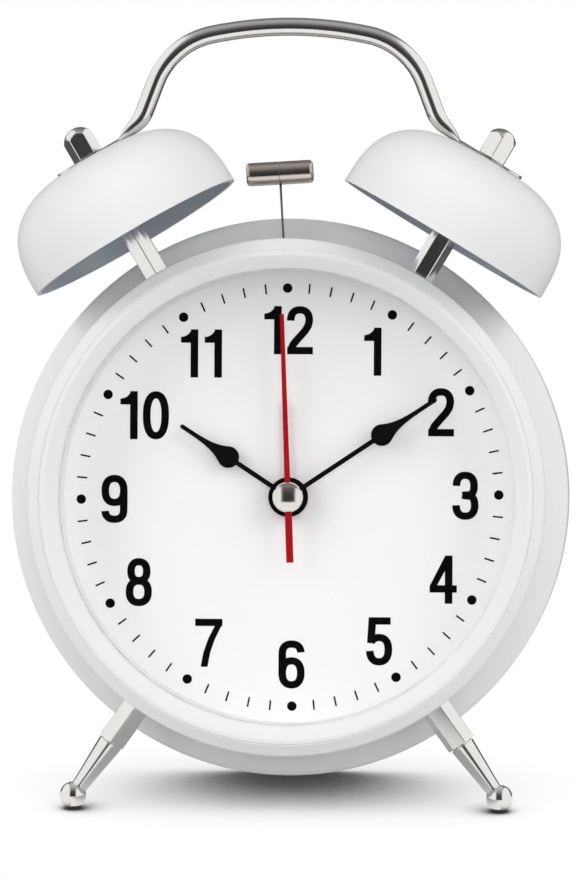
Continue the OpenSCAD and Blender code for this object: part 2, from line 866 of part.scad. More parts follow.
module middle_plate() {
    in_x = housing_x - housing_t - lay;
    color(brass) placed() face(mid_plate_d, mid_plate_t) difference() {
        translate([-in_x, -housing_bottom + housing_t + lay])
            square([2 * in_x, housing_bottom + housing_top - 2 * housing_t - 2 * lay]);
        circle(r = minute_out + run);
        for (s = [-1, 1]) translate([s * arbor_x, 0]) circle(r = arbor_r + run);
        for (at = [[0, third_z], [0, -step_x], [rotor_x, -step_x]]) translate(at) circle(r = second_r + run);
    }
}

module movement_housing() {
    pillar_r = 1.2;
    color([0.2, 0.2, 0.22]) placed() {
        for (at = stator_feet) bar(at, stator_d + stator_t, housing_in + eps, pillar_r);
        housing_box();
    }
}

module housing_box() {
    difference() {
        translate([-housing_x, plate_back, -housing_bottom])
            cube([2 * housing_x, housing_end - plate_back, housing_bottom + housing_top]);
        translate([-housing_x + housing_t, plate_back - 1, -housing_bottom + housing_t])
            cube([2 * (housing_x - housing_t), housing_in - plate_back + 1,
                housing_bottom + housing_top - 2 * housing_t]);
        for (at = [[0, 0], [0, third_z], [0, -step_x], [rotor_x, -step_x]])
            bar(at, housing_in - 1, housing_in + 0.9, second_r + run);
        for (s = [-1, 1]) bar([s * arbor_x, 0], housing_in - 1, housing_end + 1, arbor_r + run);
    }
}

stator_d = level(4) + 0.3;
stator_t = 1;
coil_z = -step_x - 9;
stator_feet = [[rotor_x + 9, -step_x + 2], [rotor_x + 9, coil_z + 1], [rotor_x - 7, coil_z]];

// Soft-iron plate that reaches round the rotor from both ends of the coil.
module stator() {
    color(nickel) placed() face(stator_d, stator_t) difference() {
        translate([rotor_x - 9, coil_z - 1]) square([20, 14]);
        translate([rotor_x, -step_x]) circle(r = 3.4);
        translate([rotor_x - 5.5, coil_z + 1]) square([13, 4]);
        translate([0, -step_x]) circle(r = second_r + 2.4);
    }
}

module coil() {
    color([0.7, 0.35, 0.15]) placed() difference() {
        translate([rotor_x - 5, stator_d + stator_t / 2, coil_z])
            rotate([0, 90, 0]) cylinder(h = 12, r = 2.4);
        translate([rotor_x - 9, stator_d - lay, coil_z - 1 - lay])
            cube([20, stator_t + 2 * lay, 2 + 2 * lay]);
    }
}

module circuit_board() {
    color([0.1, 0.35, 0.2]) placed() {
        face(housing_in - 1, 1) translate([-22, -25]) square([13.5, 12]);
        face(housing_in - 1.8, 0.8) translate([-17, -21]) square([5, 5]);
    }
}

// Alarm drive

module motor_bracket() {
    foot_r = 2;
    reach = 2.3 * motor_r;
    color([0.85, 0.85, 0.83]) placed() {
        face(bracket_d, bracket_t) difference() {
            translate([-reach, crank_z - 2 * foot_r]) square([2 * reach, 6 * foot_r]);
            translate([0, crank_z]) circle(r = crank_arbor_r + run);
            translate(motor_pos) circle(r = motor_boss_r + lay);
        }
        for (s = [-1, 1])
            bar([s * (reach - 1.4 * foot_r), crank_z + 1.5 * foot_r], plate_back, bracket_d + eps, foot_r);
    }
}

module alarm_motor() {
    back = bracket_d + bracket_t;
    color(nickel) placed() difference() {
        union() {
            bar(motor_pos, back, back + motor_len, motor_r);
            bar(motor_pos, bracket_d + 0.4, back + eps, motor_boss_r);
        }
        bar(motor_pos, bracket_d - 1, back + 5, motor_shaft_r + run);
    }
}

module motor_pinion() {
    m = module_for(motor_teeth, motor_x);
    color(brass) placed() {
        wheel(motor_pos, crank_d, crank_t, motor_teeth[0], m, motor_turn + 180);
        bar(motor_pos, crank_d, bracket_d + bracket_t + 4, motor_shaft_r);
    }
}

module crank_gear() {
    m = module_for(motor_teeth, motor_x);
    color(white) placed() {
        wheel([0, crank_z], crank_d, crank_t, motor_teeth[1], m, motor_turn, true);
        bar([0, crank_z], crank_d, bracket_d + bracket_t - run, crank_arbor_r);
        bar(crank_pin, lever_d + 0.1, crank_d + eps, crank_pin_r);
    }
}

// Rear

module alarm_switch() {
    stem = [3, 2.6];
    color(black) placed() translate([switch_pos[0], 0, switch_pos[1]]) {
        face(case_end - 1.6, 1.5) square([9, 6], center = true);
        face(case_end - 0.2, cover_t + 0.4) square(stem, center = true);
        face(cover_end + 0.1, 2.4) square([5, 4], center = true);
    }
}

module cover_outline() {
    turned() polygon([
        [0, case_end], [drum_r, case_end], [drum_r, cover_end - cover_edge],
        [drum_r - cover_edge, cover_end], [0, cover_end]
    ]);
    turned() polygon([
        [drum_in - plug_wall, case_end - 3], [drum_in - lay, case_end - 3],
        [drum_in - lay, case_end + eps], [drum_in - plug_wall, case_end + eps]
    ]);
}

// Space under the table's surface, in the dial's own axes.
module under_table() {
    rotate([lean, 0, 0]) translate([-100, -100, -floor_drop - 100]) cube([200, 300, 100]);
}

module bay(grow, front) {
    translate([-bay_x - grow, front, -cell_z - bay_h - grow])
        cube([2 * (bay_x + grow), case_end - front + eps, 2 * (bay_h + grow)]);
}

module rear_cover() {
    heel_w = 12;
    bay_front = cell_d - cell_r - bay_gap;
    color(white) placed() difference() {
        union() {
            cover_outline();
            bay(bay_t, bay_front - bay_t);
            translate([-heel_w / 2, case_end, -drum_r - 6]) cube([heel_w, cover_t, 12]);
        }
        under_table();
        bay(0, bay_front);
        translate([-bay_x - eps, case_end - 1, -cell_z - bay_h - eps])
            cube([2 * (bay_x + eps), cover_t + 2, 2 * (bay_h + eps)]);
        for (s = [-1, 1]) bar([s * arbor_x, 0], case_end - 1, cover_end + 1, arbor_r + 0.4);
        for (at = screw_places) bar(at, case_end - 1, cover_end + 1, screw_r + 2 * lay);
        translate([switch_pos[0] - 1.7, case_end - 1, switch_pos[1] - 1.5])
            cube([switch_travel + 3.4, cover_t + 2, 3]);
    }
}

module battery_door() {
    grip_r = 4;
    color(white) placed() {
        face(cover_end, door_t) translate([0, -cell_z]) difference() {
            square([2 * (bay_x + door_edge), 2 * (bay_h + door_edge)], center = true);
            translate([0, bay_h + door_edge + 0.55 * grip_r]) circle(r = grip_r);
        }
        difference() {
            face(case_end + 0.3, cover_t - 0.3 + eps) translate([-bay_x + 0.3, -cell_z - bay_h + 0.3])
                square([2 * bay_x - 0.6, 2 * bay_h - 0.6]);
            face(case_end, cover_t - 0.4) translate([-bay_x + 1.5, -cell_z - bay_h + 1.5])
                square([2 * bay_x - 3, 2 * bay_h - 3]);
        }
    }
}

module battery() {
    color([0.25, 0.27, 0.3]) placed() translate([-cell_len / 2, cell_d, -cell_z]) rotate([0, 90, 0])
        rotate_extrude() polygon([
            [0, 0], [cell_r - 0.4, 0], [cell_r, 0.4], [cell_r, cell_len - 1.6],
            [cell_r - 0.4, cell_len - 1.2], [2.6, cell_len - 1.2], [2.6, cell_len], [0, cell_len]
        ]);
}

// Contact strips at the two ends of the battery.
module battery_contacts() {
    color(nickel) placed() for (s = [-1, 1]) {
        translate([s * (bay_x - 0.25), cell_d, -cell_z]) cube([0.4, 9, 11], center = true);
        translate([s * (cell_len / 2 + 0.95), cell_d, -cell_z]) rotate([0, 90, 0])
            cylinder(h = 1.7, r1 = s > 0 ? 2.2 : 3.2, r2 = s > 0 ? 3.2 : 2.2, center = true);
    }
}

// Pan-head screws with a cross slot.
module rear_screws() {
    head_h = 1.4;
    slot_l = 1.75 * screw_head_r;
    slot_t = 0.25 * screw_head_r;
    color(nickel) placed() for (at = screw_places) {
        difference() {
            bar(at, cover_end, cover_end + head_h, screw_head_r);
            translate([at[0], cover_end + head_h, at[1]]) {
                cube([slot_l, head_h, slot_t], center = true);
                cube([slot_t, head_h, slot_l], center = true);
            }
        }
        bar(at, case_end - 8, cover_end + eps, screw_r - 2 * run);
    }
}

case_shell();
bezel();
lens();
spacer_ring();
dial_plate();
chassis_plate();
left_bell();
right_bell();
left_bell_post();
right_bell_post();
cap_nuts();
handle();
left_leg();
right_leg();
case_nuts();
hammer_head();
hammer_wire();
hammer_lever();
hour_hand();
hour_wheel();
minute_hand();
minute_pipe();
second_hand();
second_wheel();
centre_cap();
alarm_hand();
alarm_wheel();
third_wheel();
centre_wheel();
intermediate_wheel();
rotor();
setting_arbor();
alarm_arbor();
time_knob();
alarm_knob();
middle_plate();
movement_housing();
stator();
coil();
circuit_board();
motor_bracket();
alarm_motor();
motor_pinion();
crank_gear();
alarm_switch();
rear_cover();
battery_door();
battery();
battery_contacts();
rear_screws();
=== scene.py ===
import json
import math

import bmesh
import bpy
from mathutils import Matrix, Quaternion, Vector


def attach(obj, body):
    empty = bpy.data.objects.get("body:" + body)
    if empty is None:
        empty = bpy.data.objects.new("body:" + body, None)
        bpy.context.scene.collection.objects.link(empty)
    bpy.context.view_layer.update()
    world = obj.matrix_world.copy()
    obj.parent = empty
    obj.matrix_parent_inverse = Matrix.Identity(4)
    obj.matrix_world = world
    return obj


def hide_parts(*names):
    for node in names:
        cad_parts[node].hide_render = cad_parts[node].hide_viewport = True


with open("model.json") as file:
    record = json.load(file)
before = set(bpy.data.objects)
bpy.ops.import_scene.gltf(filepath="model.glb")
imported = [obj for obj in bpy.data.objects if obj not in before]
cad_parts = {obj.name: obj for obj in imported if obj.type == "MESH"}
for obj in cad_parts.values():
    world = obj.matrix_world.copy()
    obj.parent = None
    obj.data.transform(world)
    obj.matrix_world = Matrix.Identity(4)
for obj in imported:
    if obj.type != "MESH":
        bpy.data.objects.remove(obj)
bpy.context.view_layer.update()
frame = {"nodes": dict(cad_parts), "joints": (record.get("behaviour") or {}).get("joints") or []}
nodes = frame["nodes"]


# Case: a deep-drawn steel drum with a narrower neck in front, sprayed with glossy white enamel.
# The neck carries the bells, the legs and the slot that the hammer's wire swings in.

MM = 0.001

# The clock leans back, so its pieces are placed from the dial axis that the hands turn on.
hands_joint = next(j for j in frame["joints"] if j["name"] == "second_turn")
back = Vector(hands_joint["axis"]).normalized()
right = Vector((1, 0, 0))
up = right.cross(back)
axis_point = Vector(hands_joint["pos_m"])


def depth_of(node):
    """Nearest depth of a node's mesh along the dial axis."""
    return min((v.co - axis_point).dot(back) for v in nodes[node].data.vertices)


crest = axis_point + back * depth_of("bezel")
clock = Matrix.Translation(crest) @ Matrix((right, back, up)).transposed().to_4x4()


def finish(name, pale, deep, rough, metal=0.0, shine=0.5, mottle=60.0, grain=2500.0, relief=0.02,
           stretch=(1, 1, 1)):
    """Surface finish: two close tones in soft clouds, uneven gloss and a fine relief."""
    material = bpy.data.materials.new(name)
    material.use_nodes = True
    tree = material.node_tree
    shader = tree.nodes["Principled BSDF"]
    shader.inputs["Metallic"].default_value = metal
    shader.inputs["Specular IOR Level"].default_value = shine

    place = tree.nodes.new("ShaderNodeTexCoord")
    along = tree.nodes.new("ShaderNodeMapping")
    along.inputs["Scale"].default_value = stretch
    tree.links.new(place.outputs["Object"], along.inputs["Vector"])

    clouds = tree.nodes.new("ShaderNodeTexNoise")
    clouds.inputs["Scale"].default_value = mottle
    clouds.inputs["Detail"].default_value = 4
    tree.links.new(along.outputs["Vector"], clouds.inputs["Vector"])

    tone = tree.nodes.new("ShaderNodeMix")
    tone.data_type = "RGBA"
    tone.inputs["A"].default_value = (*deep, 1)
    tone.inputs["B"].default_value = (*pale, 1)
    tree.links.new(clouds.outputs["Fac"], tone.inputs["Factor"])
    tree.links.new(tone.outputs["Result"], shader.inputs["Base Color"])

    gloss = tree.nodes.new("ShaderNodeMapRange")
    gloss.inputs["To Min"].default_value = rough[0]
    gloss.inputs["To Max"].default_value = rough[1]
    tree.links.new(clouds.outputs["Fac"], gloss.inputs["Value"])
    tree.links.new(gloss.outputs["Result"], shader.inputs["Roughness"])

    specks = tree.nodes.new("ShaderNodeTexNoise")
    specks.inputs["Scale"].default_value = grain
    tree.links.new(along.outputs["Vector"], specks.inputs["Vector"])
    bump = tree.nodes.new("ShaderNodeBump")
    bump.inputs["Strength"].default_value = relief
    bump.inputs["Distance"].default_value = 0.1 * MM
    tree.links.new(specks.outputs["Fac"], bump.inputs["Height"])
    tree.links.new(bump.outputs["Normal"], shader.inputs["Normal"])
    return material


def piece(name, mesh, materials, body, place=clock, crease=30):
    """Turns a mesh into a smooth piece of the clock, set in its place, that rides on a body."""
    mesh.transform(place)
    bmesh.ops.recalc_face_normals(mesh, faces=mesh.faces)
    if mesh.calc_volume(signed=True) < 0:
        bmesh.ops.reverse_faces(mesh, faces=mesh.faces)
    data = bpy.data.meshes.new(name)
    mesh.to_mesh(data)
    mesh.free()
    data.shade_smooth()
    data.set_sharp_from_angle(angle=math.radians(crease))
    for material in materials:
        data.materials.append(material)
    obj = bpy.data.objects.new(name, data)
    bpy.context.scene.collection.objects.link(obj)
    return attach(obj, body)


def settle(obj):
    """Turns a piece's modifiers into plain mesh."""
    bpy.context.view_layer.update()
    data = bpy.data.meshes.new_from_object(obj.evaluated_get(bpy.context.evaluated_depsgraph_get()))
    obj.modifiers.clear()
    obj.data = data


def cut(obj, block, place):
    """Takes a block, given as a mesh, out of a piece."""
    data = bpy.data.meshes.new("block")
    block.transform(place)
    block.to_mesh(data)
    block.free()
    cutter = bpy.data.objects.new("block", data)
    bpy.context.scene.collection.objects.link(cutter)
    obj.modifiers.new("cut", "BOOLEAN").object = cutter
    settle(obj)
    bpy.data.objects.remove(cutter)


def spun(profile, steps=160, inside=()):
    """Mesh of a closed profile of radius and height, in millimetres, spun about the upright axis.
    The stretches of the profile named in inside take the second material."""
    mesh = bmesh.new()
    turns = [2 * math.pi * i / steps for i in range(steps)]
    rings = [[mesh.verts.new((r * MM * math.cos(t), r * MM * math.sin(t), h * MM)) for t in turns]
             for r, h in profile]
    for k, ring in enumerate(rings):
        following = rings[(k + 1) % len(rings)]
        for i in range(steps):
            j = (i + 1) % steps
            wall = mesh.faces.new((ring[i], ring[j], following[j], following[i]))
            wall.material_index = int(k in inside)
    return mesh


NECK_R = 53.0
DRUM_R = 58.6
SHEET = 1.0
NECK_FRONT = 3.0
NECK_END = 14.0
SHOULDER = 4.0
CASE_END = 42.0
POST_DEPTH = 9.5
SLOT = (13 * MM, 3 * MM, 12 * MM)

# A spun piece stands on its own axis, which is laid along the dial axis.
along_dial = clock @ Matrix.Rotation(-math.pi / 2, 4, "X")
# Bells, handle and legs stand in one plane across the neck, and so does the slot.
at_posts = clock @ Matrix.Translation((0, POST_DEPTH * MM, 0))


def shoulder(neck, drum, steps=20):
    """Smooth step from the neck's radius to the drum's."""
    line = []
    for i in range(steps + 1):
        share = i / steps
        radius = neck + (drum - neck) * (1 - math.cos(math.pi * share)) / 2
        line.append((radius, NECK_END + SHOULDER * share))
    return line


white_enamel = finish("white_enamel", (0.8, 0.8, 0.8), (0.78, 0.78, 0.78), (0.26, 0.34), shine=0.2,
                      relief=0.03)
shell = piece("case_drum", spun(
    [(NECK_R, NECK_FRONT)] + shoulder(NECK_R, DRUM_R) + [(DRUM_R, CASE_END), (DRUM_R - SHEET, CASE_END)]
    + shoulder(NECK_R - SHEET, DRUM_R - SHEET)[::-1] + [(NECK_R - SHEET, NECK_FRONT)]
), [white_enamel], "case", along_dial)

slot_block = bmesh.new()
bmesh.ops.create_cube(slot_block, size=1, matrix=Matrix.Diagonal((*SLOT, 1)))
cut(shell, slot_block, at_posts @ Matrix.Translation((0, 0, NECK_R * MM)))
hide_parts("case_shell")


# Bezel: a spun ring with a stepped front and a sloping inner flank, in the same white enamel.
# It is pressed over the neck and holds the window.

BEZEL_R = 54.0
CREST_R = 51.2
WINDOW_R = 47.7
LENS_SEAT_R = 49.4
LIP = 3.4
PLUG = (51.9, 6.4)
BEZEL_BACK = 4.5
STEP_R = 51.5
GROOVE = 0.3
GROOVE_FLOOR = 0.1
GROOVE_MOUTH = 0.2
FIT = 0.05
OUTER_EDGE = 2.1
OUTER_EASE = 0.7
CREST_EASE = 1.0
INNER_EDGE = 1.95
INNER_EASE = 0.5
FLANK = -118


def arc(x, y, rx, ry, start, end, steps=18):
    """Points on an elliptic arc between two angles in degrees."""
    turns = [math.radians(start + (end - start) * i / steps) for i in range(steps + 1)]
    return [(x + rx * math.cos(t), y + ry * math.sin(t)) for t in turns]


bezel_ring = piece("bezel_ring", spun(
    [(NECK_R + FIT, BEZEL_BACK), (BEZEL_R, BEZEL_BACK)]
    + arc(BEZEL_R - OUTER_EASE, OUTER_EDGE, OUTER_EASE, OUTER_EASE, 0, -62, 8)
    + [(STEP_R + GROOVE_MOUTH, 0.2), (STEP_R + GROOVE_FLOOR, GROOVE),
       (STEP_R - GROOVE_FLOOR, GROOVE), (STEP_R - GROOVE_MOUTH, 0.03)]
    + arc(CREST_R - CREST_EASE / 2, CREST_EASE, CREST_EASE, CREST_EASE, -80, FLANK, 6)
    + arc(WINDOW_R + INNER_EASE, INNER_EDGE, INNER_EASE, INNER_EASE, FLANK, -180, 6)
    + [(WINDOW_R - 0.2, LIP), (LENS_SEAT_R, LIP), (LENS_SEAT_R, PLUG[1]), (PLUG[0], PLUG[1]),
       (PLUG[0], NECK_FRONT), (NECK_R + FIT, NECK_FRONT)]
), [white_enamel], "case", along_dial)
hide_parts("bezel")


# Window: a flat clear disc behind the bezel's lip.
# It is polished, so little of it shows but a faint shine.


def dress(material, *names):
    """Gives CAD nodes a finish."""
    for name in names:
        mesh = nodes[name].data
        mesh.materials.clear()
        mesh.materials.append(material)


WINDOW_ALPHA = 0.014
clear = finish("clear_window", (0.04, 0.04, 0.04), (0.03, 0.03, 0.03), (0.02, 0.05), relief=0.002)
clear.node_tree.nodes["Principled BSDF"].inputs["Alpha"].default_value = WINDOW_ALPHA
dress(clear, "lens")


# Spacer and dial: a moulded ring that keeps the window off a flat disc of matt white sheet.
# The dial is printed in black with plain numbers, a dot at each hour and a tick at each minute.

ring_white = finish("spacer_white", (0.84, 0.84, 0.83), (0.81, 0.81, 0.8), (0.4, 0.5))
dial_white = finish("dial_white", (0.96, 0.96, 0.96), (0.94, 0.94, 0.94), (0.55, 0.65), grain=6000.0)
dial_ink = finish("dial_ink", (0.004, 0.004, 0.005), (0.003, 0.003, 0.003), (0.6, 0.75), shine=0.0,
                  grain=6000.0)
dress(ring_white, "spacer_ring")
dress(dial_white, "dial_plate")

DIAL_DEPTH = depth_of("dial_plate") - depth_of("bezel")
INK = 0.03 * MM
# The dial is fixed a little turned and a little off the middle.
PRINT_TURN = math.radians(0.9)
PRINT_AT = Vector((0.19, 0.0)) * MM
DIGIT_H = 10.1
DIGIT_W = 5.5
DIGIT_STEP = 5.0
STROKE = 1.6
THIN = 1.53
NUMBERS_ACROSS = 36.9 * MM
PAIRS_ACROSS = 35.2 * MM
NUMBERS_UP = 35.1 * MM
NUMBERS_DROP = 0.05 * MM
DOT_R = 43.9 * MM
DOT_SIZE = 1.0 * MM
TICK = (0.35 * MM, 2.1 * MM)

mid_x = DIGIT_W / 2
bowl_x = mid_x - STROKE / 2


def band(points, wide=STROKE, thin=THIN):
    """Two edges of a stroke along a line of points, with mitred corners.
    Upright strokes are a little wider than level ones. A line that ends where it starts is a ring."""
    line = [Vector(p) for p in points]
    ring = (line[0] - line[-1]).length < 1e-6
    sides = ([], [])
    for i, p in enumerate(line):
        before = p - line[i - 1] if i else p - line[-2] if ring else line[1] - p
        after = line[i + 1] - p if i + 1 < len(line) else line[1] - p if ring else before
        before.normalize()
        lean = (before + after.normalized()).normalized()
        reach = 0.5 / max(lean.dot(before), 0.35)
        across = Vector((-lean.y * wide, lean.x * thin)) * reach
        sides[0].append(p + across)
        sides[1].append(p - across)
    return sides


def bow(x, y, rx, ry, start, end, steps=28, square=2.35):
    """Points on a curve between an ellipse and a box, from one angle in degrees to another."""
    line = []
    for px, py in arc(0, 0, 1, 1, start, end, steps):
        px, py = (math.copysign(abs(v) ** (2 / square), v) for v in (px, py))
        line.append((x + rx * px, y + ry * py))
    return line


def digit_shapes(digit):
    """Pairs of edges that fill a bold narrow digit, its lower left corner at the origin."""
    low, high = THIN / 2, DIGIT_H - THIN / 2
    left, rim = STROKE / 2, DIGIT_W - STROKE / 2
    if digit == "0":
        return [band(bow(mid_x, DIGIT_H / 2, bowl_x, high - DIGIT_H / 2, 0, 360, 48))]
    if digit == "1":
        flag_top = [(0.25, 8.5), (1.05, 8.65), (1.75, 9.05), (2.25, 9.6), (2.5, DIGIT_H)]
        return [band([(3.1, 0), (3.1, DIGIT_H)]), ([Vector(p) for p in flag_top],
                                                     [Vector((x, 7.3)) for x, y in flag_top])]
    if digit == "2":
        stem = bow(mid_x, 7.05, bowl_x, high - 7.05, 180, 0) + [
            (rim - 0.25, 5.95), (rim - 0.9, 4.9), (2.2, 3.1), (1.35, 2.05), (1.0, 1.2), (0.95, 0.6)]
        return [band(stem), band([(0.1, low), (DIGIT_W, low)])]
    if digit == "3":
        return [
            band(bow(mid_x - 0.05, 7.1, bowl_x - 0.1, high - 7.1, 180, -72) + [(2.05, 5.15)]),
            band([(2.05, 5.15)] + bow(mid_x, 3.05, bowl_x, 3.05 - low, 72, -180)),
        ]
    if digit == "4":
        slope = ([Vector((0, 3.7)), Vector((3.25, DIGIT_H))], [Vector((1.5, 3.7)), Vector((3.9, 8.2))])
        return [band([(3.98, 0), (3.98, DIGIT_H)]), band([(0, 3.1), (DIGIT_W + 0.2, 3.1)]), slope]
    if digit == "5":
        return [
            band([(DIGIT_W - 0.35, high), (1.3, high), (1.02, 4.65)]),
            band(bow(mid_x, 3.3, bowl_x, 5.85 - 3.3, 148, 0, 16)
                 + bow(mid_x, 3.3, bowl_x, 3.3 - low, 0, -176)[1:]),
        ]
    if digit == "6":
        return [
            band(bow(mid_x, 3.28, bowl_x, 3.28 - low, 0, 360, 40)),
            band(bow(mid_x, 7.4, bowl_x, high - 7.4, 4, 180) + [(left, 3.3)]),
        ]
    if digit == "7":
        slope = ([(5.1, 8.65), (3.7, 5.9), (2.7, 3.0), (2.15, 0)],
                 [(6.65, 8.95), (5.15, 5.9), (4.15, 3.0), (3.6, 0)])
        return [band([(0.95, high), (6.68, high)]), [[Vector(p) for p in side] for side in slope]]
    if digit == "8":
        return [
            band(bow(mid_x, 7.36, bowl_x - 0.3, high - 7.36, 0, 360, 40)),
            band(bow(mid_x, 3.02, bowl_x, 3.02 - low, 0, 360, 40)),
        ]
    # A nine is a six turned round.
    corner = Vector((DIGIT_W, DIGIT_H))
    return [[[corner - p for p in side] for side in pair] for pair in digit_shapes("6")]


def ink(mesh, pairs, shift):
    """Adds printed strokes, as thin raised bands, to a mesh. A later stroke lies on an earlier one."""
    for layer, sides in enumerate(pairs):
        ring = (sides[0][0] - sides[0][-1]).length < 1e-9
        count = len(sides[0]) - ring
        rows = []
        for depth in (DIAL_DEPTH, DIAL_DEPTH - INK * (1 + 0.1 * layer)):
            rows.append([[mesh.verts.new((p.x + shift.x, depth, p.y + shift.y)) for p in side[:count]]
                         for side in sides])
        (low_l, low_r), (top_l, top_r) = rows
        for i in range(len(sides[0]) - 1):
            j = (i + 1) % count
            mesh.faces.new((top_l[i], top_l[j], top_r[j], top_r[i]))
            mesh.faces.new((low_l[i], low_l[j], top_l[j], top_l[i]))
            mesh.faces.new((top_r[i], top_r[j], low_r[j], low_r[i]))
            mesh.faces.new((low_r[i], low_r[j], low_l[j], low_l[i]))
        if not ring:
            mesh.faces.new((low_l[0], top_l[0], top_r[0], low_r[0]))
            mesh.faces.new((top_l[-1], low_l[-1], low_r[-1], top_r[-1]))


numbers = bmesh.new()
for hour in range(1, 13):
    at = math.radians(30 * hour) - PRINT_TURN
    digits = str(hour)
    across = PAIRS_ACROSS if len(digits) > 1 else NUMBERS_ACROSS
    centre = PRINT_AT + Vector((math.sin(at) * across, math.cos(at) * NUMBERS_UP - NUMBERS_DROP))
    for i, digit in enumerate(digits):
        lead = (i - (len(digits) - 1) / 2) * DIGIT_STEP - DIGIT_W / 2
        corner = centre + Vector((lead, -DIGIT_H / 2)) * MM
        ink(numbers, [[[p * MM for p in side] for side in pair] for pair in digit_shapes(digit)], corner)
piece("dial_numbers", numbers, [dial_ink], "case")

marks = bmesh.new()
for minute in range(60):
    turn = math.radians(6 * minute) - PRINT_TURN
    out = Vector((math.sin(turn), math.cos(turn)))
    if minute % 5:
        ends = [out * (DOT_R - TICK[1] / 2), out * (DOT_R + TICK[1] / 2)]
        ink(marks, [band(ends, TICK[0], TICK[0])], PRINT_AT)
    else:
        spot = out * DOT_R + PRINT_AT
        bmesh.ops.create_cone(marks, cap_ends=True, segments=32, radius1=DOT_SIZE, radius2=DOT_SIZE,
                              depth=INK, matrix=Matrix.Translation((spot.x, DIAL_DEPTH - INK / 2, spot.y))
                              @ Matrix.Rotation(math.pi / 2, 4, "X"))
piece("dial_marks", marks, [dial_ink], "case")


# Bells: two pressed steel cups, enamelled white outside and grey-blue inside.
# Each sits on a six-sided post and is clamped under the handle's end by a cap nut.

BELL_ANGLE = math.radians(30.7)
BELL_NOD = math.radians(1.0)
BELL_R = 23.9
BELL_H = 18.8
BELL_WALL = 1.0
CROWN_R = 7.6
MOUTH = 63.0
STUD_R = 1.55
bell_white = finish("bell_white", (0.79, 0.79, 0.79), (0.77, 0.77, 0.77), (0.3, 0.38), shine=0.04,
                    relief=0.03)
bell_inside_grey = finish("bell_inside_grey", (0.56, 0.61, 0.66), (0.52, 0.57, 0.62), (0.35, 0.45), relief=0.04)


def bell_side(mouth_r, height, steps=36):
    """Side of a bell from its mouth up to the flat of its crown."""
    levels = [math.sin(math.pi / 2 * i / steps) for i in range(steps + 1)]
    return [(CROWN_R + (mouth_r - CROWN_R) * math.sqrt(1 - h ** 3), height * h) for h in levels]


outside = bell_side(BELL_R, BELL_H)
hollow = bell_side(BELL_R - BELL_WALL, BELL_H - BELL_WALL)[::-1]
bell_profile = outside + [(STUD_R, BELL_H), (STUD_R, BELL_H - BELL_WALL)] + hollow
hollow_part = range(len(outside) + 1, len(bell_profile) - 1)
for name, angle in (("left_bell", -BELL_ANGLE), ("right_bell", BELL_ANGLE)):
    # A bell nods forward a little about its seat under the cap nut.
    seat = at_posts @ Matrix.Rotation(angle, 4, "Y") @ Matrix.Translation((0, 0, (MOUTH + BELL_H) * MM))
    place = seat @ Matrix.Rotation(-BELL_NOD, 4, "X") @ Matrix.Translation((0, 0, -BELL_H * MM))
    bell = piece(name + "_cup", spun(bell_profile, inside=hollow_part), [bell_white, bell_inside_grey],
                 "case", place)
    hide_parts(name)


# Posts, cap nuts and inside nuts: six-sided steel bar, turned and drilled, with bright nickel plate.
# A post holds its bell off the neck, with a nut inside the case and a cap nut over the bell.

bright_nickel = finish("bright_nickel", (0.84, 0.82, 0.8), (0.78, 0.76, 0.74), (0.1, 0.17), metal=1.0,
                       mottle=300.0, grain=4000.0, relief=0.01)
dress(bright_nickel, "case_nuts", "rear_screws", "battery_contacts")

EASED = 0.18 * MM
LONG_EDGE = 1.5 * MM
SHARP_EDGE = math.radians(45)
LEVEL = math.radians(0.5)
WELD = 0.001 * MM


def flatten(obj):
    """Shades the flat sides of a piece flat, up to the bends between them."""
    flat = obj.modifiers.new("flat_sides", "WEIGHTED_NORMAL")
    flat.weight = 100
    flat.keep_sharp = True
    settle(obj)


def ease(mesh, edges):
    """Rounds edges as plating leaves them."""
    bmesh.ops.bevel(mesh, geom=edges, offset=EASED, offset_type="OFFSET", segments=3, profile=0.5,
                    affect="EDGES", clamp_overlap=True)


def eased(node):
    """Replaces a CAD node by a copy with eased corners between flat sides."""
    mesh = bmesh.new()
    mesh.from_mesh(nodes[node].data)
    bmesh.ops.remove_doubles(mesh, verts=mesh.verts, dist=WELD)
    bmesh.ops.dissolve_limit(mesh, angle_limit=LEVEL, verts=mesh.verts, edges=mesh.edges)
    ease(mesh, [e for e in mesh.edges if e.is_convex and e.calc_length() > LONG_EDGE
                and e.calc_face_angle(0) > SHARP_EDGE])
    bmesh.ops.dissolve_degenerate(mesh, dist=WELD, edges=mesh.edges)
    copy = piece(node + "_eased", mesh, [bright_nickel], "case", Matrix(), crease=35)
    flatten(copy)
    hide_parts(node)


for node in ("left_bell_post", "right_bell_post", "cap_nuts"):
    eased(node)


# Handle: a bent steel rod with bright nickel plate, which stands over both bells.
# Its ends are pressed flat and drilled, and each is clamped between a bell and its cap nut.

ROD_R = 1.9
ROD_TOP = 98.5
ARCH_R = 80.0
CORNER_R = 16.0
SIDE_TURN = math.radians(69.4)
BEND_IN = 13.5
BEND_R = 6.0
FLAT_W = 7.0
FLAT_T = 0.85
FLAT_OUT = 7.6
FLAT_IN = 7.5
FLAT_EDGE = 3.0
BEND_STEPS = 12
ARCH_STEPS = 32


def heading(turn):
    """Direction in the plane of the bells, turned to the right from upright."""
    return Vector((math.sin(turn), math.cos(turn)))


def rod_ring(foot, turn, round_off=1.0, narrow=1.0):
    """Outline across the rod over a point of its underside, from pressed flat at nothing to round at one."""
    share = round_off * (2 - round_off)
    thick = FLAT_T / 2 + (ROD_R - FLAT_T / 2) * share
    wide = (ROD_R + (FLAT_W / 2 - ROD_R) * (1 - share) ** 3) * narrow
    square = FLAT_EDGE + (2 - FLAT_EDGE) * share
    ring = []
    for across, over in bow(0, 0, wide, thick, 0, 360, 32, square)[:-1]:
        point = foot + heading(turn) * (thick + over)
        ring.append(Vector((point.x, across, point.y)))
    return ring


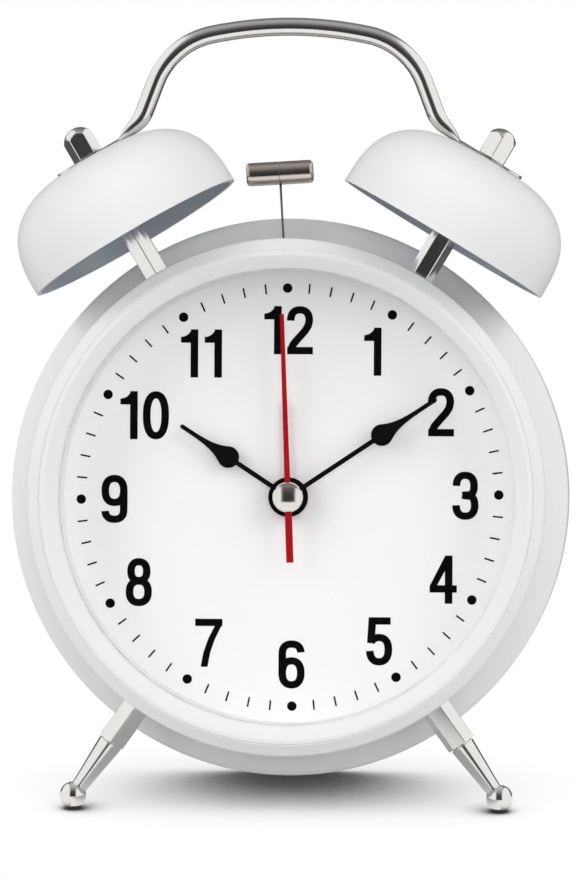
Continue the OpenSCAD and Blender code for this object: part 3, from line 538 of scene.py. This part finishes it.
flat_foot = heading(BELL_ANGLE) * (MOUTH + BELL_H)
flat_run = heading(BELL_ANGLE + math.pi / 2)
bend_turn = SIDE_TURN - BELL_ANGLE
bend_start = BEND_IN - BEND_R * math.tan(bend_turn / 2)
bend_centre = flat_foot + heading(BELL_ANGLE) * (ROD_R + BEND_R) - flat_run * bend_start

# The corner's circle touches the side's line and the arch from inside.
arch_centre = Vector((0, ROD_TOP - ARCH_R))
side_out = (bend_centre - heading(SIDE_TURN) * BEND_R - arch_centre).dot(heading(SIDE_TURN)) - CORNER_R
corner_turn = SIDE_TURN - math.acos(side_out / (ARCH_R - CORNER_R))
corner_centre = arch_centre + heading(corner_turn) * (ARCH_R - CORNER_R)

# Half of the rod, from the rounded end of the flat through the bend and the corner to the top.
half = []
for along, width in arc(FLAT_OUT - FLAT_W / 2, 0, FLAT_W / 2, 1, 12, 90, 10):
    half.append(rod_ring(flat_foot + flat_run * along, BELL_ANGLE, 0, width))
for i in range(BEND_STEPS + 1):
    share = i / BEND_STEPS
    along = FLAT_IN + (bend_start - FLAT_IN) * share
    half.append(rod_ring(flat_foot - flat_run * along, BELL_ANGLE, share / 2))
for i in range(1, BEND_STEPS + 1):
    share = i / BEND_STEPS
    turn = BELL_ANGLE + bend_turn * share
    half.append(rod_ring(bend_centre - heading(turn) * (BEND_R + ROD_R), turn, (1 + share) / 2))
for i in range(ARCH_STEPS + 1):
    turn = SIDE_TURN + (corner_turn - SIDE_TURN) * i / ARCH_STEPS
    half.append(rod_ring(corner_centre + heading(turn) * (CORNER_R - ROD_R), turn))
for i in range(1, ARCH_STEPS + 1):
    turn = corner_turn * (1 - i / ARCH_STEPS)
    half.append(rod_ring(arch_centre + heading(turn) * (ARCH_R - ROD_R), turn))

rod = bmesh.new()
mirrored = [[Vector((-p.x, p.y, p.z)) for p in ring] for ring in half[-2::-1]]
rings = [[rod.verts.new(p * MM) for p in ring] for ring in half + mirrored]
for ring, following in zip(rings, rings[1:]):
    for i, corner in enumerate(ring):
        rod.faces.new((ring[i - 1], corner, following[i], following[i - 1]))
rod.faces.new(rings[0])
rod.faces.new(rings[-1])
handle = piece("handle_rod", rod, [bright_nickel], "case", at_posts, crease=35)
for angle in (-BELL_ANGLE, BELL_ANGLE):
    drill = bmesh.new()
    bmesh.ops.create_cone(drill, cap_ends=True, segments=48, radius1=STUD_R * MM, radius2=STUD_R * MM,
                          depth=4 * FLAT_T * MM, matrix=Matrix.Translation((0, 0, (MOUTH + BELL_H) * MM)))
    cut(handle, drill, at_posts @ Matrix.Rotation(angle, 4, "Y"))
flatten(handle)
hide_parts("handle")


# Legs: turned from six-sided bar to a cone and a ball, and plated as the handle is.
# Each is screwed into the neck with a nut inside, so its flats stand as they come tight.

LEG_ANGLE = math.radians(35.5)
LEG_FLATS = 5.6
LEG_ROOT = (NECK_R - 0.03, 63.2)
CONE_R = (2.6, 1.72)
CONE_END = 74.2
BALL_R = 2.85
BALL_AT = 77.0
STUD_END = 49.0
NECKING = 0.15
ROUND = 0.3
SUNK = 0.5
ball_start = math.degrees(math.asin(CONE_R[1] / BALL_R)) - 90
core_r = CONE_R[0] - ROUND
turned_profile = (
    [(0, LEG_ROOT[1] - ROUND), (core_r, LEG_ROOT[1] - ROUND), (core_r, LEG_ROOT[1] + NECKING)]
    + arc(core_r, LEG_ROOT[1] + NECKING + ROUND, ROUND, ROUND, -90, -5, 6) + [(CONE_R[1], CONE_END)]
    + arc(0, BALL_AT, BALL_R, BALL_R, ball_start, 90, 28))
stud_profile = [(0, STUD_END), (STUD_R, STUD_END), (STUD_R, LEG_ROOT[0] + SUNK), (0, LEG_ROOT[0] + SUNK)]


def add(mesh, other):
    """Adds a second mesh to the first."""
    data = bpy.data.meshes.new("added")
    other.to_mesh(data)
    other.free()
    mesh.from_mesh(data)
    bpy.data.meshes.remove(data)


for name, angle, turn in (("left_leg", math.pi + LEG_ANGLE, 60), ("right_leg", math.pi - LEG_ANGLE, 40)):
    mesh = bmesh.new()
    corner_r = LEG_FLATS / 2 / math.cos(math.pi / 6) * MM
    low, high = (level * MM for level in LEG_ROOT)
    bmesh.ops.create_cone(mesh, cap_ends=True, segments=6, radius1=corner_r, radius2=corner_r,
                          depth=high - low, matrix=Matrix.Translation((0, 0, (low + high) / 2))
                          @ Matrix.Rotation(math.radians(turn), 4, "Z"))
    ease(mesh, mesh.edges[:])
    add(mesh, spun(turned_profile, 64))
    add(mesh, spun(stud_profile, 32))
    bmesh.ops.remove_doubles(mesh, verts=mesh.verts, dist=WELD)
    leg = piece(name + "_turned", mesh, [bright_nickel], "case",
                at_posts @ Matrix.Rotation(angle, 4, "Y"), crease=35)
    flatten(leg)
    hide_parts(name)


# Hammer: a turned and plated steel bar on a wire of drawn spring steel.
# The wire goes through the slot in the neck to a moulded lever behind the dial.

satin_nickel = finish("satin_nickel", (0.68, 0.61, 0.56), (0.62, 0.55, 0.5), (0.15, 0.22), metal=1.0,
                      mottle=300.0, grain=4000.0, relief=0.02)
black_plastic = finish("black_plastic", (0.05, 0.05, 0.055), (0.035, 0.035, 0.04), (0.4, 0.55), relief=0.05)
spring_steel = finish("spring_steel", (0.27, 0.26, 0.25), (0.22, 0.21, 0.2), (0.2, 0.3), metal=1.0,
                      mottle=300.0)
dress(satin_nickel, "hammer_head")
dress(black_plastic, "hammer_lever")

# The drawn wire is thinner than the solid that stands for it.
WIRE_CUT = 0.13 * MM
wire_mesh = bmesh.new()
wire_mesh.from_mesh(nodes["hammer_wire"].data)
bmesh.ops.remove_doubles(wire_mesh, verts=wire_mesh.verts, dist=WELD)
wire_mesh.normal_update()
drawn = [v.co - v.normal * WIRE_CUT for v in wire_mesh.verts]
for v, thinner in zip(wire_mesh.verts, drawn):
    v.co = thinner
wire = piece("hammer_wire_drawn", wire_mesh, [spring_steel], "hammer", Matrix(), crease=50)
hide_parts("hammer_wire")


# Hands: thin stamped sheet, black for hours and minutes and red for seconds and alarm.
# A bright domed cap is pressed over the ends of their pipes.

black_paint = finish("black_hand_paint", (0.006, 0.006, 0.007), (0.004, 0.004, 0.004), (0.4, 0.52),
                     shine=0.0)
red_paint = finish("red_hand_paint", (0.4, 0.006, 0.011), (0.34, 0.005, 0.009), (0.4, 0.5), shine=0.06)
dress(black_paint, "hour_hand", "minute_hand")
dress(red_paint, "second_hand", "alarm_hand")

CAP_R = 3.25
CAP_H = 1.5
CAP_BALL = 6.3
CAP_EASE = 2.75
CAP_BORE = 0.55
BORE_DEPTH = 0.8
cap_top = (depth_of("centre_cap") - depth_of("bezel")) / MM
ease_turn = math.asin(CAP_EASE / CAP_BALL)
ease_drop = CAP_BALL * (1 - math.cos(ease_turn))
cap_mesh = spun(
    arc(0, cap_top + CAP_BALL, CAP_BALL, CAP_BALL, -90, math.degrees(ease_turn) - 90, 12)
    + arc(CAP_EASE, cap_top + CAP_H, CAP_R - CAP_EASE, CAP_H - ease_drop, -75, 0, 8)
    + [(CAP_BORE, cap_top + CAP_H), (CAP_BORE, cap_top + CAP_H - BORE_DEPTH),
       (0, cap_top + CAP_H - BORE_DEPTH)], 64)
bmesh.ops.remove_doubles(cap_mesh, verts=cap_mesh.verts, dist=WELD)
cap = piece("centre_cap_dome", cap_mesh, [bright_nickel], "second", along_dial)
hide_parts("centre_cap")


# Movement: a quartz movement with plastic and brass wheels in a black housing.
# It stands on the back of a moulded chassis plate, with the alarm's motor beside it.

white_plastic = finish("white_plastic", (0.84, 0.84, 0.83), (0.8, 0.8, 0.79), (0.38, 0.5), relief=0.05)
brass = finish("bright_brass", (0.8, 0.6, 0.3), (0.72, 0.53, 0.25), (0.2, 0.32), metal=1.0, mottle=400.0)
plain_steel = finish("plain_steel", (0.6, 0.6, 0.61), (0.5, 0.5, 0.51), (0.28, 0.42), metal=1.0,
                     mottle=300.0)
copper_wire = finish("copper_wire", (0.72, 0.34, 0.16), (0.55, 0.24, 0.1), (0.3, 0.4), metal=1.0,
                     mottle=500.0, stretch=(6, 1, 1))
board_green = finish("board_green", (0.05, 0.2, 0.1), (0.03, 0.15, 0.07), (0.3, 0.42), mottle=400.0)
dress(white_plastic, "chassis_plate", "hour_wheel", "alarm_wheel", "third_wheel", "centre_wheel",
      "intermediate_wheel", "setting_arbor", "alarm_arbor", "crank_gear", "motor_bracket")
dress(brass, "minute_pipe", "second_wheel", "middle_plate", "motor_pinion")
dress(plain_steel, "rotor", "stator", "alarm_motor")
dress(copper_wire, "coil")
dress(board_green, "circuit_board")
dress(black_plastic, "movement_housing")


# Rear: a moulded cover with a battery bay, its clip-on door, two knobs and the alarm's switch.
# Four screws hold the cover to posts on the chassis plate.

cell_jacket = finish("cell_jacket", (0.2, 0.21, 0.23), (0.16, 0.17, 0.19), (0.3, 0.4))
dress(white_plastic, "rear_cover", "battery_door")
dress(black_plastic, "time_knob", "alarm_knob", "alarm_switch")
dress(cell_jacket, "battery")


# Studio: a matt white table top, a bright surround and large soft lamps on three sides.
# Dark paper cards stand round it, out of the camera's sight, and show only in bright metal.

FLOOR_SIZE = 6.0
floor_mesh = bmesh.new()
bmesh.ops.create_grid(floor_mesh, x_segments=1, y_segments=1, size=FLOOR_SIZE / 2)
floor_data = bpy.data.meshes.new("floor")
floor_mesh.to_mesh(floor_data)
floor_mesh.free()
floor = bpy.data.objects.new("floor", floor_data)
bpy.context.scene.collection.objects.link(floor)


def seen(tree):
    """One for rays that see the background, and nothing for light that falls on the object."""
    path = tree.nodes.new("ShaderNodeLightPath")
    first = tree.nodes.new("ShaderNodeMath")
    first.operation = "MAXIMUM"
    tree.links.new(path.outputs["Is Camera Ray"], first.inputs[0])
    tree.links.new(path.outputs["Is Glossy Ray"], first.inputs[1])
    second = tree.nodes.new("ShaderNodeMath")
    second.operation = "MAXIMUM"
    tree.links.new(first.outputs[0], second.inputs[0])
    tree.links.new(path.outputs["Is Transmission Ray"], second.inputs[1])
    return second.outputs[0]


table_white = finish("table_white", (0.62, 0.62, 0.62), (0.6, 0.6, 0.6), (0.7, 0.8), mottle=4.0, relief=0.0)
table_tree = table_white.node_tree
# The table shows plain white, with a painted shadow, darker where the clock stands close over it, and a
# painted contact shadow beside the feet.
SHADOW_REACH = 0.035
SHADOW_TONES = ((0.04, 0.03), (0.12, 0.14), (0.2, 0.36), (0.3, 0.58), (0.4, 0.76), (0.5, 0.87), (0.65, 0.96),
                (0.8, 1.0))
CONTACT_REACH = 0.008
CONTACT_DEPTH = 1.5
FEET_FROM = (0.034, 0.041)


def cover(reach):
    """How open the table is over a reach."""
    node = table_tree.nodes.new("ShaderNodeAmbientOcclusion")
    node.samples = 16
    node.inputs["Distance"].default_value = reach
    return node.outputs["AO"]


# Painted contact shadow: the table is darkened where little is open over a short reach, but only beside the
# feet, away from the middle.
contact = table_tree.nodes.new("ShaderNodeMath")
contact.operation = "POWER"
table_tree.links.new(cover(CONTACT_REACH), contact.inputs[0])
spot = table_tree.nodes.new("ShaderNodeSeparateXYZ")
table_tree.links.new(table_tree.nodes["Texture Coordinate"].outputs["Object"], spot.inputs[0])
aside = table_tree.nodes.new("ShaderNodeMath")
aside.operation = "ABSOLUTE"
table_tree.links.new(spot.outputs["X"], aside.inputs[0])
feet_shadow_mask = table_tree.nodes.new("ShaderNodeMapRange")
feet_shadow_mask.inputs["From Min"].default_value = FEET_FROM[0]
feet_shadow_mask.inputs["From Max"].default_value = FEET_FROM[1]
feet_shadow_mask.inputs["To Max"].default_value = CONTACT_DEPTH
table_tree.links.new(aside.outputs[0], feet_shadow_mask.inputs["Value"])
table_tree.links.new(feet_shadow_mask.outputs["Result"], contact.inputs[1])
shadow = table_tree.nodes.new("ShaderNodeMath")
shadow.operation = "MULTIPLY"
table_tree.links.new(cover(SHADOW_REACH), shadow.inputs[0])
table_tree.links.new(contact.outputs[0], shadow.inputs[1])
tones = table_tree.nodes.new("ShaderNodeValToRGB")
ramp = tones.color_ramp.elements
while len(ramp) < len(SHADOW_TONES):
    ramp.new(0.5)
for stop, (reach, tone) in zip(ramp, SHADOW_TONES):
    stop.position = reach
    stop.color = (tone, tone, tone, 1)
table_tree.links.new(shadow.outputs[0], tones.inputs["Fac"])
# The painted shadow's tones are shown as the table's glow, for rays that see the background.
glow = table_tree.nodes.new("ShaderNodeEmission")
table_tree.links.new(tones.outputs["Color"], glow.inputs["Color"])
both = table_tree.nodes.new("ShaderNodeMixShader")
table_tree.links.new(seen(table_tree), both.inputs["Fac"])
table_tree.links.new(table_tree.nodes["Principled BSDF"].outputs[0], both.inputs[1])
table_tree.links.new(glow.outputs[0], both.inputs[2])
table_tree.links.new(both.outputs[0], table_tree.nodes["Material Output"].inputs["Surface"])
floor_data.materials.append(table_white)

ROOM_LIGHT = 0.5
world = bpy.data.worlds.new("studio")
bpy.context.scene.world = world
world.use_nodes = True
sky = world.node_tree
ambient = sky.nodes["Background"]
ambient.inputs["Color"].default_value = (1, 1, 1, 1)
ambient.inputs["Strength"].default_value = ROOM_LIGHT
backdrop = sky.nodes.new("ShaderNodeBackground")
backdrop.inputs["Color"].default_value = (1, 1, 1, 1)
choose = sky.nodes.new("ShaderNodeMixShader")
sky.links.new(seen(sky), choose.inputs["Fac"])
sky.links.new(ambient.outputs[0], choose.inputs[1])
sky.links.new(backdrop.outputs[0], choose.inputs[2])
sky.links.new(choose.outputs[0], sky.nodes["World Output"].inputs["Surface"])


def lamp(name, place, size, power):
    """Soft square lamp that faces the clock, too wide and even to show in its bright metal."""
    light = bpy.data.lights.new(name, "AREA")
    light.size = size
    light.energy = power
    obj = bpy.data.objects.new(name, light)
    obj.location = place
    obj.rotation_euler = (crest - Vector(place)).to_track_quat("-Z", "Y").to_euler()
    obj.visible_glossy = False
    bpy.context.scene.collection.objects.link(obj)


lamp("left_lamp", (-1.4, -0.8, 1.0), 1.2, 15)
lamp("right_lamp", (1.4, -0.8, 1.0), 1.2, 14)
lamp("front_lamp", (0.2, -2.0, 0.9), 1.0, 7)


def screen(name, distance, bands):
    """Card bent over the clock from front to back, which only bright surfaces mirror.
    Its width and tone follow its rise in degrees, and it lies down where it meets the table."""
    mesh = bmesh.new()
    tone_layer = mesh.verts.layers.float_color.new("tone")
    across = 16
    along = 10
    fade = 8
    rows = []
    for here, following in zip(bands, bands[1:]):
        for j in range(1 if rows else 0, along + 1):
            angle, width, tone = (a + (b - a) * j / along for a, b in zip(here, following))
            rise = math.radians(angle)
            reach = distance
            if math.sin(rise) < 0:
                reach = min(distance, (crest.z - MM) / -math.sin(rise))
            row = []
            for i in range(across + 1):
                share = 2 * i / across - 1
                out = Vector((share * width / 2, -math.cos(rise) * reach, math.sin(rise) * reach))
                corner = mesh.verts.new(crest + out)
                edge = tone + (1 - tone) * abs(share) ** fade
                corner[tone_layer] = (edge, edge, edge, 1)
                row.append(corner)
            rows.append(row)
    for low, high in zip(rows, rows[1:]):
        for i in range(across):
            mesh.faces.new((low[i], low[i + 1], high[i + 1], high[i]))
    data = bpy.data.meshes.new(name)
    mesh.to_mesh(data)
    mesh.free()
    paint = bpy.data.materials.new(name)
    paint.use_nodes = True
    tree = paint.node_tree
    tree.nodes.remove(tree.nodes["Principled BSDF"])
    shade = tree.nodes.new("ShaderNodeVertexColor")
    shade.layer_name = "tone"
    plain = tree.nodes.new("ShaderNodeEmission")
    tree.links.new(shade.outputs["Color"], plain.inputs["Color"])
    tree.links.new(plain.outputs[0], tree.nodes["Material Output"].inputs["Surface"])
    data.materials.append(paint)
    obj = bpy.data.objects.new(name, data)
    bpy.context.scene.collection.objects.link(obj)
    obj.visible_camera = False
    obj.visible_diffuse = False
    obj.visible_transmission = False
    obj.visible_shadow = False


# Dark cards before, over and behind the clock give the bright metal its streaks and its dark outlines.
screen("front_card", 0.5, (
    (-8.4, 0.56, 0.04), (16, 0.56, 0.04), (42, 0.56, 0.09), (60, 0.56, 0.26), (80, 0.56, 0.42),
    (96, 0.56, 0.46), (120, 0.56, 0.22), (160, 0.56, 0.15)))
screen("back_card", 0.36, ((160, 1.5, 0.12), (192, 1.5, 0.1), (225, 1.5, 0.1)))
# The floor card is a painted reflection of shade: a grey sheet on the table before the feet, which the legs'
# inner sides mirror in place of the clock's shadow.
screen("floor_shadow_card", 1.0, ((-58, 0.09, 0.4), (-130, 0.09, 0.4)))


# Camera: a long lens on a stand a little to the right, square on to the leaned dial.
# It is aimed a little above the dial's middle, so that handle and feet both fit.

YAW = math.radians(2.9)
RISE = math.radians(11.4)
ROLL = math.radians(-0.25)
DISTANCE = 1.46
SENSOR = 36
FOCAL_LENGTH = 430
AIM = Vector((1.37, 12.07, 0)) * MM
toward = Vector((math.sin(YAW) * math.cos(RISE), -math.cos(YAW) * math.cos(RISE), math.sin(RISE)))
turn = toward.to_track_quat("Z", "Y") @ Quaternion((0, 0, 1), ROLL)
target = clock @ Vector((0, BEZEL_BACK * MM, 0)) + turn @ AIM
lens = bpy.data.cameras.new("camera")
lens.sensor_fit = "HORIZONTAL"
lens.sensor_width = SENSOR
lens.lens = FOCAL_LENGTH
camera = bpy.data.objects.new("camera", lens)
camera.location = target + toward * DISTANCE
camera.rotation_euler = turn.to_euler()
bpy.context.scene.collection.objects.link(camera)
bpy.context.scene.camera = camera
bpy.context.scene.view_settings.view_transform = "Standard"
